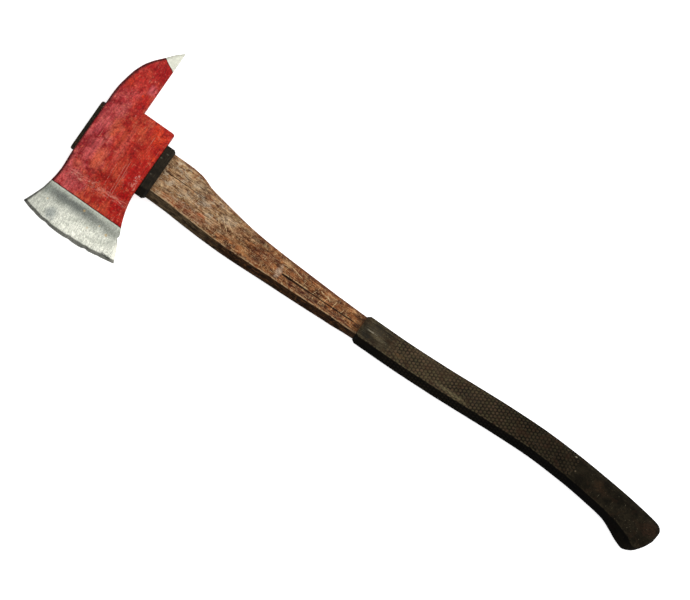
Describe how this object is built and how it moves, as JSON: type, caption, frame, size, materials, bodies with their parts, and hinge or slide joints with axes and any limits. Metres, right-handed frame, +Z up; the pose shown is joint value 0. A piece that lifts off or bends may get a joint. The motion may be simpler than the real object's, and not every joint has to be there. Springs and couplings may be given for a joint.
{
  "type": "fire axe",
  "caption": "Pick-head fire axe: red forged head with a bare ground edge and pick tip, octagonal wooden haft, black collar and a dotted black rubber grip over the butt.",
  "frame": {"origin": "on the cheek that the axe lies on, under the centre of the eye", "axes": "the axe lies on its side: +X along the haft from the head to the butt, +Y to the pick's tip, -Y to the cutting edge, +Z up out of the upper cheek"},
  "size_m": [0.9257, 0.2856, 0.034],
  "materials": {
    "red_paint": "worn red paint on forged steel, bare at the blade and at the pick's tip",
    "hickory": "weathered, scratched and stained, with open cracks along the grain",
    "wedge_wood": "plain sawn hardwood",
    "black_rubber": "matt moulded rubber, dusty and worn",
    "black_steel": "matt black coating",
    "bare_steel": "plain steel"
  },
  "bodies": {
    "root": {"axe_head": "red_paint", "haft": "hickory", "kerf_wedge": "wedge_wood", "steel_wedge_pick_side": "bare_steel", "steel_wedge_edge_side": "bare_steel", "head_plate": "black_steel", "plate_screw_pick_side": "bare_steel", "plate_screw_edge_side": "bare_steel", "head_collar": "black_rubber", "grip_sleeve": "black_rubber"}
  },
  "joints": []
}
